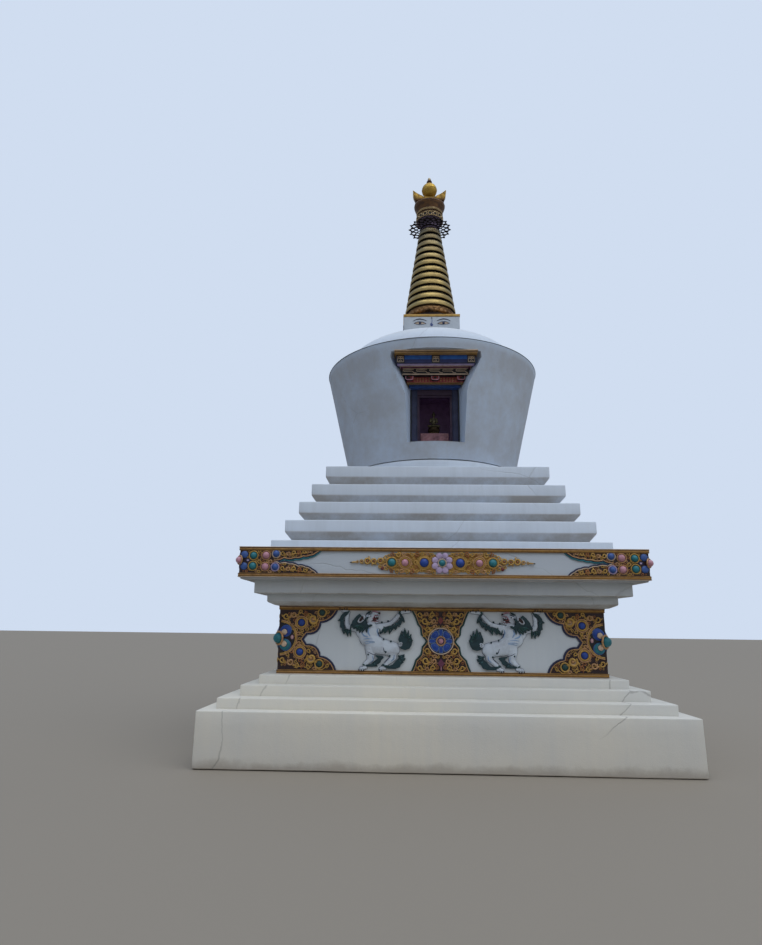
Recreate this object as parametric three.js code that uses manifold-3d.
// A whitewashed stupa: a stepped square base with carved reliefs, a round body with a niche, a gilded spire.
// Millimetres, +Z up. The niche faces -Y, and the origin is at the centre of the underside.

import * as THREE from "three";
import { mergeVertices } from "three/addons/utils/BufferGeometryUtils.js";
import Module from "manifold-3d";

const wasm = await Module();
wasm.setup();

// Left between pieces that rest on each other.
const GAP = 0.3;

// Square tiers of the base, from the ground up. half is half the width of a side.
const BLOCK = { half: 1794, height: 394 };
const STEPS = [
  { half: 1680, height: 78 },
  { half: 1544, height: 80 },
  { half: 1430, height: 67 },
];
const DIE = { half: 1303, height: 528 };
const LOWER_CORNICE = { half: 1405, foot: 1345, chamfer: 26, height: 109 };
const UPPER_CORNICE = { half: 1494, height: 104 };
const FRIEZE = { half: 1588, height: 235 };
const PLINTH = { half: 1400, height: 85 };
const TERRACES = [
  { half: 1307, height: 184 },
  { half: 1211, height: 176 },
  { half: 1120, height: 178 },
  { half: 1013, height: 192 },
];
// Each terrace is a plain fascia above a face that slopes in to its foot.
const FASCIA = 107;
const UNDERCUT = 62;

// Gilded strips along the top and bottom of the relief panel and of the frieze.
const STRIP = { height: 30, proud: 12 };
const RELIEF = 18;
const CORNER_BALL = 28;

// The round body, its foot ring, and the domed shoulder above the rim.
const FOOT_RING = { radius: 873, height: 105 };
const BODY = { foot: 874, rim: 1122, wall: 1045, height: 1124 };
// The rim rounds in above the widest point, up to a flat ledge.
const RIM = { inwards: 32, bands: 5 };
const SHOULDER = { radius: 974, height: 424, roundness: 2.1, flat: 362 };

// The niche: a splayed recess up to the window frame, and a room behind it.
const NICHE = { sill: 2680, head: 3255, frame: -736, back: -330, half: 237, room: 205, jamb: 60 };
// Half-widths of the recess at its heights, at a plane in front of the body and at the frame's plane.
const RECESS = {
  reach: -1150,
  outer: [[333, NICHE.sill], [326, 3070], [510, 3480], [490, 3530]],
  inner: [[NICHE.half, NICHE.sill], [NICHE.half, 3290], [285, 3480], [270, 3530]],
};
const POST = { inner: 169, outer: 235, depth: 46 };
const HEAD_BOARD = { foot: 3199, depth: 40 };
const INNER_FRAME = { width: 20, setBack: 14, depth: 36 };
const ALTAR = { half: 140, top: 2833, front: -650, back: -400 };
const PEDESTAL = { half: 62, height: 96 };
const FIGURE = { height: 180, y: -520 };

// Lintel mouldings over the niche: each is wider and further out than the one below.
const LINTEL = [
  { name: "lintel_lower_blue", half: 235, foot: 3255.3, face: -760, paint: "navy" },
  { name: "lintel_ochre", half: 250, foot: 3268, face: -800, paint: "ochre" },
  { name: "lintel_red_beam", half: 274, foot: 3285, face: -845, paint: "red" },
  { name: "lintel_key_pattern", half: 316, foot: 3341, face: -910, paint: "beige" },
  { name: "lintel_lilac", half: 338, foot: 3408, face: -955, paint: "lilac" },
  { name: "lintel_upper_blue", half: 376, foot: 3417, face: -1005, paint: "blue" },
  { name: "lintel_gold_cornice", half: 390, foot: 3499, face: -1065, paint: "gilding" },
];
const LINTEL_TOP = 3527;
const RAFTER = { half: 26, foot: 3303, height: 38, proud: 34, spacing: 232 };

// The square box above the shoulder, the ringed spire, and what crowns it.
const HARMIKA = { half: 304, height: 271 };
const HARMIKA_SLAB = { half: 308, height: 29 };
const LOTUS = { foot: 276, waist: 246, top: 272, height: 141 };
const SPIRE = { rings: 12, pitch: 91.8, foot: 288, top: 119, groove: 15, grooveHeight: 13 };
const CANOPY = {
  foot: 104, brim: 158, groove: 148, ring: 154, bulge: 183, neck: 168, neckDepth: 62, height: 405,
};
const LACE = { tips: 22, radius: 252, valley: 222, rim: 178, bar: 9, thickness: 8, z: 5556 };
const MOON = { thickness: 64, reach: 198, rise: 144, seat: 60 };
const SUN = { radius: 90, z: 6096 };
const KNOB = { radius: 33, tip: 20, height: 91 };

// How finely the round shapes are cut into flat sides.
const ROUND_SIDES = 72;
const SMALL_SIDES = 24;
const BALL_BANDS = 12;
const SMALL_BALL = { sides: 12, bands: 8 };

// Paints and finishes, as seen on the real surfaces.
const PAINTS = {
  whitewash: { color: 0xccd3dc, roughness: 0.92, metalness: 0 },
  gilding: { color: 0xa8832f, roughness: 0.5, metalness: 0.6 },
  carving: { color: 0x8a6a34, roughness: 0.6, metalness: 0.3 },
  bronze: { color: 0x5f4426, roughness: 0.55, metalness: 0.6 },
  darkMetal: { color: 0x1f1d22, roughness: 0.6, metalness: 0.7 },
  blue: { color: 0x1f4f96, roughness: 0.6, metalness: 0 },
  navy: { color: 0x2b3556, roughness: 0.7, metalness: 0 },
  ochre: { color: 0xb08a4a, roughness: 0.7, metalness: 0 },
  red: { color: 0x8c3a3a, roughness: 0.7, metalness: 0 },
  beige: { color: 0xb59a7a, roughness: 0.7, metalness: 0 },
  lilac: { color: 0xa796b5, roughness: 0.7, metalness: 0 },
  maroon: { color: 0x3a1a24, roughness: 0.7, metalness: 0 },
  cloth: { color: 0x8a5c60, roughness: 0.95, metalness: 0 },
  figure: { color: 0x6d675c, roughness: 0.5, metalness: 0.4 },
};

const stupa = new THREE.Group();

function addPiece(name, geometry, paint, parent = stupa) {
  const mesh = new THREE.Mesh(geometry, new THREE.MeshStandardMaterial(PAINTS[paint]));
  mesh.name = name;
  parent.add(mesh);
  return mesh;
}

// Turns [radius, height] points about +Z.
function turned(profile, sides) {
  const points = profile.map(([radius, z]) => new THREE.Vector2(radius, z));
  return new THREE.LatheGeometry(points, sides).rotateX(Math.PI / 2);
}

// A turned profile with four sides, whose faces look along X and Y.
function squareTier(profile) {
  const corners = profile.map(([half, z]) => [half * Math.SQRT2, z]);
  return turned(corners, 4).rotateZ(Math.PI / 4);
}

function plainTier(half, foot, top) {
  return squareTier([[0, foot], [half, foot], [half, top], [0, top]]);
}

function box(x0, x1, y0, y1, z0, z1) {
  const geometry = new THREE.BoxGeometry(x1 - x0, y1 - y0, z1 - z0);
  return geometry.translate((x0 + x1) / 2, (y0 + y1) / 2, (z0 + z1) / 2);
}

// An outline in X and Z, extruded from a plane facing -Y towards the viewer.
function plateOn(plane, shape, thickness) {
  const options = { depth: thickness, bevelEnabled: false, curveSegments: 4 };
  return new THREE.ExtrudeGeometry(shape, options).rotateX(Math.PI / 2).translate(0, plane, 0);
}

// Points on the right half of an outline, followed by their mirror images on the left half.
function mirrored(points) {
  return [...points, ...points.map(([x, z]) => [-x, z]).reverse()];
}

function outline(points) {
  return new THREE.Shape(points.map(([x, z]) => new THREE.Vector2(x, z)));
}

// Shared vertices merged and collapsed triangles dropped, ready for a boolean.
function toSolid(geometry) {
  const bare = geometry.clone();
  bare.deleteAttribute("normal");
  bare.deleteAttribute("uv");
  const merged = mergeVertices(bare, 1e-3);
  const corners = merged.index.array;
  const kept = [];
  for (let i = 0; i < corners.length; i += 3) {
    const [a, b, c] = [corners[i], corners[i + 1], corners[i + 2]];
    if (a !== b && b !== c && c !== a) kept.push(a, b, c);
  }
  const vertProperties = new Float32Array(merged.attributes.position.array);
  return new wasm.Manifold(new wasm.Mesh({ numProp: 3, vertProperties, triVerts: new Uint32Array(kept) }));
}

function toGeometry(solid) {
  const mesh = solid.getMesh();
  const geometry = new THREE.BufferGeometry();
  geometry.setAttribute("position", new THREE.BufferAttribute(mesh.vertProperties, 3));
  geometry.setIndex(new THREE.BufferAttribute(mesh.triVerts, 1));
  geometry.computeVertexNormals();
  return geometry;
}

function joined(geometries) {
  return geometries.map(toSolid).reduce((whole, part) => whole.add(part));
}

// A closed solid between two outlines with matching points, on planes at y = near and y = far.
function loft(nearOutline, near, farOutline, far) {
  const count = nearOutline.length;
  const positions = [];
  nearOutline.forEach(([x, z]) => positions.push(x, near, z));
  farOutline.forEach(([x, z]) => positions.push(x, far, z));
  const contour = nearOutline.map(([x, z]) => new THREE.Vector2(x, z));
  const index = [];
  for (const [a, b, c] of THREE.ShapeUtils.triangulateShape(contour, [])) {
    index.push(a, b, c);
    index.push(count + c, count + b, count + a);
  }
  for (let i = 0; i < count; i += 1) {
    const next = (i + 1) % count;
    index.push(i, count + i, count + next);
    index.push(i, count + next, next);
  }
  const geometry = new THREE.BufferGeometry();
  geometry.setAttribute("position", new THREE.Float32BufferAttribute(positions, 3));
  geometry.setIndex(index);
  return geometry;
}

// The same group of pieces on each side, turned a quarter at a time.
const SIDES = ["front", "right", "back", "left"];
function onEachSide(build) {
  SIDES.forEach((side, quarter) => {
    const group = new THREE.Group();
    group.rotation.z = quarter * Math.PI / 2;
    build(side, group);
    stupa.add(group);
  });
}

// A square band around a tier, from inner to outer half-width.
function squareBand(inner, outer, foot, height) {
  const shape = outline([[-outer, -outer], [outer, -outer], [outer, outer], [-outer, outer]]);
  shape.holes.push(outline([[-inner, -inner], [-inner, inner], [inner, inner], [inner, -inner]]));
  const options = { depth: height, bevelEnabled: false };
  return new THREE.ExtrudeGeometry(shape, options).translate(0, 0, foot);
}

// Strips, corner carvings on both faces of each corner, and a ball on the corner, as one border.
function carvedBorder(tier, foot, top, cornerShape) {
  const inner = tier.half + GAP;
  const middle = (foot + top) / 2;
  const parts = [
    squareBand(inner, inner + STRIP.proud, foot, STRIP.height),
    squareBand(inner, inner + STRIP.proud, top - STRIP.height, STRIP.height),
  ];
  for (let quarter = 0; quarter < 4; quarter += 1) {
    for (const mirror of [1, -1]) {
      const plate = plateOn(-inner, cornerShape(inner + RELIEF, mirror), RELIEF).translate(0, 0, middle);
      parts.push(plate.rotateZ(quarter * Math.PI / 2));
    }
    const ball = new THREE.SphereGeometry(CORNER_BALL, SMALL_BALL.sides, SMALL_BALL.bands);
    ball.translate(-inner - STRIP.proud, -inner - STRIP.proud, middle);
    parts.push(ball.rotateZ(quarter * Math.PI / 2));
  }
  const core = toSolid(plainTier(inner, foot - STRIP.height, top + STRIP.height));
  return toGeometry(joined(parts).subtract(core));
}

// Scalloped edge of the panel's corner carving, with two lobes above and two below a notch.
function panelCornerShape(reach, mirror) {
  const height = DIE.height / 2 - STRIP.height / 2;
  const shape = new THREE.Shape();
  shape.moveTo(-reach * mirror, height);
  shape.lineTo(-857 * mirror, height);
  shape.quadraticCurveTo(-895 * mirror, 157, -974 * mirror, 136);
  shape.quadraticCurveTo(-973 * mirror, 68, -1075 * mirror, 49);
  shape.lineTo(-1106 * mirror, 3);
  shape.lineTo(-1071 * mirror, -44);
  shape.quadraticCurveTo(-990 * mirror, -47, -965 * mirror, -129);
  shape.quadraticCurveTo(-882 * mirror, -152, -842 * mirror, -height);
  shape.lineTo(-reach * mirror, -height);
  return shape;
}

// The frieze's corner carving runs out along both strips in two tapering arms.
function friezeCornerShape(reach, mirror) {
  const height = FRIEZE.height / 2 - STRIP.height / 2;
  const shape = new THREE.Shape();
  shape.moveTo(-reach * mirror, height);
  shape.lineTo(-965 * mirror, height);
  shape.quadraticCurveTo(-1000 * mirror, 50, -1080 * mirror, 36);
  shape.quadraticCurveTo(-1150 * mirror, 16, -1300 * mirror, 6);
  shape.quadraticCurveTo(-1180 * mirror, -4, -1110 * mirror, -28);
  shape.quadraticCurveTo(-1020 * mirror, -36, -972 * mirror, -height);
  shape.lineTo(-reach * mirror, -height);
  return shape;
}

// The long ornament in the middle of the frieze, tapering to a point at each end.
function friezeCentreShape() {
  const top = mirrored([[725, 4], [690, 16], [610, 32], [500, 32], [465, 55], [415, 72], [335, 86]]);
  const bottom = top.map(([x, z]) => [x, -z]).reverse();
  return outline([...top, ...bottom]);
}

// Half of the waisted ornament between the two lions, from its top to its bottom.
const WAISTED = [[229, 227], [205, 160], [162, 111], [158, 65], [138, 22], [116, 0],
  [138, -22], [158, -65], [162, -111], [205, -160], [229, -227]];

// A rearing lion to the left of the panel's middle: raised forepaws, open jaw, flame tail.
const LION = [[-845, 210], [-825, 227], [-740, 225], [-745, 160], [-735, 130], [-710, 145],
  [-665, 200], [-610, 205], [-540, 227], [-490, 222], [-490, 195], [-510, 165], [-490, 135],
  [-410, 145], [-345, 215], [-315, 227], [-222, 227], [-218, 205], [-310, 195], [-290, 140], [-330, 110],
  [-415, 55], [-480, 55], [-460, 20], [-395, 0], [-345, -25], [-345, 15], [-330, 65],
  [-295, 95], [-245, 40], [-225, 0], [-245, -45], [-285, -75], [-325, -75], [-330, -100],
  [-285, -115], [-285, -150], [-330, -200], [-375, -220], [-500, -227], [-480, -180],
  [-435, -150], [-415, -125], [-465, -125], [-470, -150], [-515, -200], [-585, -205],
  [-600, -227], [-660, -227], [-630, -185], [-595, -160], [-625, -70], [-645, -20], [-670, 30],
  [-655, 55], [-685, 80], [-720, 80], [-725, 30], [-795, 55], [-815, 105], [-815, 165]];

function panelReliefGeometry(middle) {
  const waisted = outline(mirrored(WAISTED));
  const lion = outline(LION);
  const twin = outline(LION.map(([x, z]) => [-x, z]));
  const plates = [waisted, lion, twin].map((shape) => plateOn(-DIE.half - GAP, shape, RELIEF));
  return toGeometry(joined(plates)).translate(0, 0, middle);
}

// The lowest block, the three shallow steps, and the die that carries the relief panels.
function buildBase() {
  let z = 0;
  addPiece("base_block", plainTier(BLOCK.half, z, z + BLOCK.height - GAP), "whitewash");
  z += BLOCK.height;
  STEPS.forEach((step, i) => {
    addPiece(`lower_step_${i + 1}`, plainTier(step.half, z, z + step.height - GAP), "whitewash");
    z += step.height;
  });
  const foot = z;
  const top = z + DIE.height - GAP;
  addPiece("relief_die", plainTier(DIE.half, foot, top), "whitewash");
  addPiece("panel_border", carvedBorder(DIE, foot, top, panelCornerShape), "carving");
  onEachSide((side, group) => {
    addPiece(`panel_relief_${side}`, panelReliefGeometry((foot + top) / 2), "whitewash", group);
  });
  return z + DIE.height;
}

function buildCornicesAndFrieze(start) {
  let z = start;
  const lower = LOWER_CORNICE;
  addPiece("lower_cornice", squareTier([[0, z], [lower.foot, z], [lower.half, z + lower.chamfer],
    [lower.half, z + lower.height - GAP], [0, z + lower.height - GAP]]), "whitewash");
  z += lower.height;
  addPiece("upper_cornice", plainTier(UPPER_CORNICE.half, z, z + UPPER_CORNICE.height - GAP), "whitewash");
  z += UPPER_CORNICE.height;
  const top = z + FRIEZE.height - GAP;
  addPiece("frieze_slab", plainTier(FRIEZE.half, z, top), "whitewash");
  addPiece("frieze_border", carvedBorder(FRIEZE, z, top, friezeCornerShape), "carving");
  onEachSide((side, group) => {
    const plate = plateOn(-FRIEZE.half - GAP, friezeCentreShape(), RELIEF);
    addPiece(`frieze_ornament_${side}`, plate.translate(0, 0, (z + top) / 2), "carving", group);
  });
  return z + FRIEZE.height;
}

function buildTerraces(start) {
  let z = start;
  addPiece("plinth", plainTier(PLINTH.half, z, z + PLINTH.height - GAP), "whitewash");
  z += PLINTH.height;
  TERRACES.forEach((terrace, i) => {
    const top = z + terrace.height - GAP;
    const profile = [[0, z], [terrace.half - UNDERCUT, z], [terrace.half, top - FASCIA],
      [terrace.half, top], [0, top]];
    addPiece(`terrace_${i + 1}`, squareTier(profile), "whitewash");
    z += terrace.height;
  });
  return z;
}

// The recess widens outwards, and widens again above the posts to take the lintel.
function nicheRecess() {
  return loft(mirrored(RECESS.outer), RECESS.reach, mirrored(RECESS.inner), NICHE.frame);
}

// Each lintel moulding runs back into a pocket of its own size.
function lintelPocket(layer) {
  const half = layer.half + GAP;
  return box(-half, half, layer.face - 1, NICHE.frame, layer.foot - GAP, LINTEL_TOP + GAP);
}

function buildBody(start) {
  const ringTop = start + FOOT_RING.height;
  const ring = [[0, start], [FOOT_RING.radius, start], [FOOT_RING.radius, ringTop - GAP], [0, ringTop - GAP]];
  addPiece("body_foot_ring", turned(ring, ROUND_SIDES), "whitewash");

  const top = ringTop + BODY.height;
  const profile = [[0, ringTop], [BODY.foot, ringTop]];
  for (let i = 0; i <= RIM.bands; i += 1) {
    const angle = Math.PI / 2 * i / RIM.bands;
    const rise = (BODY.height - BODY.wall) * Math.sin(angle);
    profile.push([BODY.rim - RIM.inwards * (1 - Math.cos(angle)), ringTop + BODY.wall + rise]);
  }
  profile.push([0, top]);
  const room = box(-NICHE.room, NICHE.room, NICHE.frame - 1, NICHE.back, NICHE.sill, NICHE.head);
  const mouth = box(-NICHE.half, NICHE.half, NICHE.frame - 1, NICHE.frame + NICHE.jamb,
    NICHE.sill, NICHE.head);
  const hollow = joined([nicheRecess(), room, mouth, ...LINTEL.map(lintelPocket)]);
  addPiece("body", toGeometry(toSolid(turned(profile, ROUND_SIDES)).subtract(hollow)), "whitewash");
  return top;
}

function buildShoulder(start) {
  const foot = start + GAP;
  const profile = [[0, foot]];
  const bands = 9;
  for (let i = 0; i <= bands; i += 1) {
    const angle = Math.PI / 2 * i / bands;
    const radius = SHOULDER.radius * Math.cos(angle) ** (2 / SHOULDER.roundness);
    const rise = SHOULDER.height * Math.sin(angle) ** (2 / SHOULDER.roundness);
    if (rise < SHOULDER.flat) profile.push([radius, foot + rise]);
  }
  const flatSine = (SHOULDER.flat / SHOULDER.height) ** (SHOULDER.roundness / 2);
  const flatRadius = SHOULDER.radius * Math.sqrt(1 - flatSine ** 2) ** (2 / SHOULDER.roundness);
  profile.push([flatRadius, foot + SHOULDER.flat], [0, foot + SHOULDER.flat]);
  addPiece("shoulder", turned(profile, ROUND_SIDES), "whitewash");
  return foot + SHOULDER.flat;
}

function buildNiche() {
  const floor = NICHE.sill + GAP;
  const head = NICHE.head - GAP;
  for (const [name, side] of [["left", -1], ["right", 1]]) {
    const xs = [side * POST.inner, side * POST.outer].sort((a, b) => a - b);
    const post = box(xs[0], xs[1], NICHE.frame, NICHE.frame + POST.depth, floor, head);
    addPiece(`niche_post_${name}`, post, "navy");
  }
  const clear = POST.inner - GAP;
  addPiece("niche_head_board", box(-clear, clear, NICHE.frame + 4, NICHE.frame + 4 + HEAD_BOARD.depth,
    HEAD_BOARD.foot, head), "maroon");

  const frameTop = HEAD_BOARD.foot - GAP;
  const bar = INNER_FRAME.width;
  const frame = outline([[-clear, floor], [clear, floor], [clear, frameTop], [-clear, frameTop]]);
  frame.holes.push(outline([[-clear + bar, floor + bar], [-clear + bar, frameTop - bar],
    [clear - bar, frameTop - bar], [clear - bar, floor + bar]]));
  const framePlane = NICHE.frame + INNER_FRAME.setBack + INNER_FRAME.depth;
  addPiece("niche_inner_frame", plateOn(framePlane, frame, INNER_FRAME.depth), "maroon");

  addPiece("altar", box(-ALTAR.half, ALTAR.half, ALTAR.front, ALTAR.back, floor, ALTAR.top), "cloth");
  const plinth = ALTAR.top + GAP;
  addPiece("figure_pedestal", box(-PEDESTAL.half, PEDESTAL.half, FIGURE.y - PEDESTAL.half,
    FIGURE.y + PEDESTAL.half, plinth, plinth + PEDESTAL.height), "bronze");
  addPiece("seated_figure", seatedFigure(plinth + PEDESTAL.height + GAP), "figure");
}

// An ellipsoid given by its centre and half-sizes.
function ellipsoid(x, y, z, sx, sy, sz) {
  const sphere = new THREE.SphereGeometry(1, SMALL_BALL.sides, SMALL_BALL.bands);
  return sphere.scale(sx, sy, sz).translate(x, y, z);
}

// A plain seated figure: crossed legs, torso, arms to the lap, head and topknot.
function seatedFigure(foot) {
  const unit = FIGURE.height;
  const parts = [
    ellipsoid(0, -0.02 * unit, 0.11 * unit, 0.33 * unit, 0.24 * unit, 0.12 * unit),
    ellipsoid(0, 0.02 * unit, 0.4 * unit, 0.19 * unit, 0.13 * unit, 0.3 * unit),
    ellipsoid(0.17 * unit, 0, 0.38 * unit, 0.07 * unit, 0.09 * unit, 0.22 * unit),
    ellipsoid(-0.17 * unit, 0, 0.38 * unit, 0.07 * unit, 0.09 * unit, 0.22 * unit),
    ellipsoid(0, 0, 0.79 * unit, 0.1 * unit, 0.11 * unit, 0.14 * unit),
    ellipsoid(0, 0.01 * unit, 0.94 * unit, 0.045 * unit, 0.045 * unit, 0.06 * unit),
  ];
  const seat = toSolid(box(-unit, unit, -unit, unit, 0, unit));
  return toGeometry(joined(parts).intersect(seat)).translate(0, FIGURE.y, foot);
}

function buildLintel() {
  LINTEL.forEach((layer, i) => {
    const next = LINTEL[i + 1];
    const top = next ? next.foot - GAP : LINTEL_TOP;
    const slab = box(-layer.half, layer.half, layer.face, NICHE.frame - GAP, layer.foot, top);
    if (layer.name !== "lintel_red_beam") {
      addPiece(layer.name, slab, layer.paint);
      return;
    }
    const ends = [-1, 0, 1].map((place) => {
      const x = place * RAFTER.spacing;
      return box(x - RAFTER.half, x + RAFTER.half, layer.face - RAFTER.proud, layer.face + 10,
        RAFTER.foot, RAFTER.foot + RAFTER.height - 2);
    });
    addPiece(layer.name, toGeometry(joined([slab, ...ends])), layer.paint);
  });
}

function buildHarmika(start) {
  let z = start + GAP;
  addPiece("harmika", plainTier(HARMIKA.half, z, z + HARMIKA.height - GAP), "whitewash");
  z += HARMIKA.height;
  addPiece("harmika_slab", plainTier(HARMIKA_SLAB.half, z, z + HARMIKA_SLAB.height - GAP), "gilding");
  return z + HARMIKA_SLAB.height;
}

function buildSpire(start) {
  const lotusTop = start + LOTUS.height;
  const lotus = [[0, start], [LOTUS.foot, start], [LOTUS.foot, start + 22], [LOTUS.waist, start + 48],
    [LOTUS.waist + 4, lotusTop - 40], [LOTUS.top, lotusTop - GAP], [0, lotusTop - GAP]];
  addPiece("lotus_base", turned(lotus, SMALL_SIDES), "bronze");

  const height = SPIRE.rings * SPIRE.pitch;
  const radiusAt = (z) => SPIRE.foot + (SPIRE.top - SPIRE.foot) * (z - lotusTop) / height;
  const profile = [[0, lotusTop]];
  for (let ring = 0; ring < SPIRE.rings; ring += 1) {
    const foot = lotusTop + ring * SPIRE.pitch;
    const top = foot + SPIRE.pitch - SPIRE.grooveHeight;
    profile.push([radiusAt(foot), foot], [radiusAt(top), top]);
    profile.push([radiusAt(top) - SPIRE.groove, top]);
    if (ring < SPIRE.rings - 1) profile.push([radiusAt(top) - SPIRE.groove, foot + SPIRE.pitch]);
  }
  profile.push([0, profile.at(-1)[1]]);
  addPiece("spire_rings", turned(profile, SMALL_SIDES), "gilding");
  return profile.at(-1)[1] + GAP;
}

// A flat openwork disc round the top of the spire, with a pointed tip at every bay.
function laceParasol() {
  const polar = (radius, angle) => [radius * Math.cos(angle), radius * Math.sin(angle)];
  const bay = 2 * Math.PI / LACE.tips;
  const edge = [];
  for (let i = 0; i < LACE.tips; i += 1) {
    edge.push(polar(LACE.radius, i * bay), polar(LACE.valley, (i + 0.5) * bay));
  }
  const shape = outline(edge);
  const hubRadius = CANOPY.foot + GAP;
  const hub = [];
  for (let i = 0; i < SMALL_SIDES; i += 1) hub.push(polar(hubRadius, -2 * Math.PI * i / SMALL_SIDES));
  shape.holes.push(outline(hub));
  for (let i = 0; i < LACE.tips; i += 1) {
    const angle = i * bay;
    const near = hubRadius + LACE.bar;
    const middle = LACE.rim - LACE.bar / 2;
    const beyond = LACE.rim + LACE.bar / 2;
    const nearHalf = bay / 2 - LACE.bar / 2 / near;
    const middleHalf = bay / 2 - LACE.bar / 2 / LACE.rim;
    shape.holes.push(outline([polar(near, angle + nearHalf), polar(middle, angle + middleHalf),
      polar(middle, angle - middleHalf), polar(near, angle - nearHalf)]));
    shape.holes.push(outline([polar(beyond, angle + middleHalf), polar(LACE.radius - 3 * LACE.bar, angle),
      polar(beyond, angle - middleHalf)]));
  }
  const options = { depth: LACE.thickness, bevelEnabled: false };
  return new THREE.ExtrudeGeometry(shape, options).translate(0, 0, LACE.z);
}

function ball(radius, z) {
  return new THREE.SphereGeometry(radius, SMALL_SIDES, BALL_BANDS).rotateX(Math.PI / 2).translate(0, 0, z);
}

// The bell under the moon: a flared skirt, a frilled band, a groove, a ring, a bulge and a neck.
// Above the bulge it closes towards the front and back, and keeps nearly its full width.
function canopyBell(z) {
  const { foot, brim, groove, ring, bulge, neck, neckDepth, height } = CANOPY;
  const widest = z + 330;
  const profile = [[0, z], [foot, z], [foot, z + 54], [brim, z + 118], [brim, z + 177], [groove, z + 180],
    [groove, z + 207], [ring, z + 210], [ring, z + 231], [bulge - 9, z + 290], [bulge, widest],
    [bulge - 5, z + 361], [neck, z + height], [0, z + height]];
  const bell = turned(profile, SMALL_SIDES);
  const points = bell.attributes.position;
  for (let i = 0; i < points.count; i += 1) {
    const share = Math.max(0, (points.getZ(i) - widest) / (z + height - widest));
    points.setY(i, points.getY(i) * (1 - share * (1 - neckDepth / neck)));
  }
  bell.computeVertexNormals();
  return bell;
}

// The horns rise from the neck's full width, and the sun sits between them.
function moonCrescent(base) {
  const { reach, rise, seat, thickness } = MOON;
  const neck = CANOPY.neck - 4;
  const moon = new THREE.Shape();
  moon.moveTo(-neck, base);
  moon.lineTo(neck, base);
  moon.quadraticCurveTo(reach - 2, base + 60, reach, base + rise);
  moon.quadraticCurveTo(SUN.radius + 50, base + 82, SUN.radius, base + seat);
  moon.lineTo(0, base + seat + 22);
  moon.lineTo(-SUN.radius, base + seat);
  moon.quadraticCurveTo(-SUN.radius - 50, base + 82, -reach, base + rise);
  moon.quadraticCurveTo(-reach + 2, base + 60, -neck, base);
  const plate = plateOn(thickness / 2, moon, thickness);
  return toGeometry(toSolid(plate).subtract(toSolid(ball(SUN.radius + GAP, SUN.z))));
}

function buildCrown(start) {
  addPiece("canopy_bell", canopyBell(start), "bronze");
  const base = start + CANOPY.height + GAP;
  addPiece("moon_crescent", moonCrescent(base), "gilding");
  addPiece("sun_ball", ball(SUN.radius, SUN.z), "gilding");

  const { radius, tip, height } = KNOB;
  const foot = SUN.z + SUN.radius + GAP;
  const knob = [[0, foot], [radius - 5, foot], [radius, foot + 10], [radius - 2, foot + 48],
    [tip, foot + 56], [tip - 4, foot + height - 8], [0, foot + height]];
  addPiece("finial_knob", turned(knob, SMALL_BALL.sides), "bronze");
}

const dieTop = buildBase();
const friezeTop = buildCornicesAndFrieze(dieTop);
const terraceTop = buildTerraces(friezeTop);
const bodyTop = buildBody(terraceTop);
const shoulderTop = buildShoulder(bodyTop);
buildNiche();
buildLintel();
const harmikaTop = buildHarmika(shoulderTop);
const spireTop = buildSpire(harmikaTop);
addPiece("lace_parasol", laceParasol(), "darkMetal");
buildCrown(spireTop);

export default stupa;
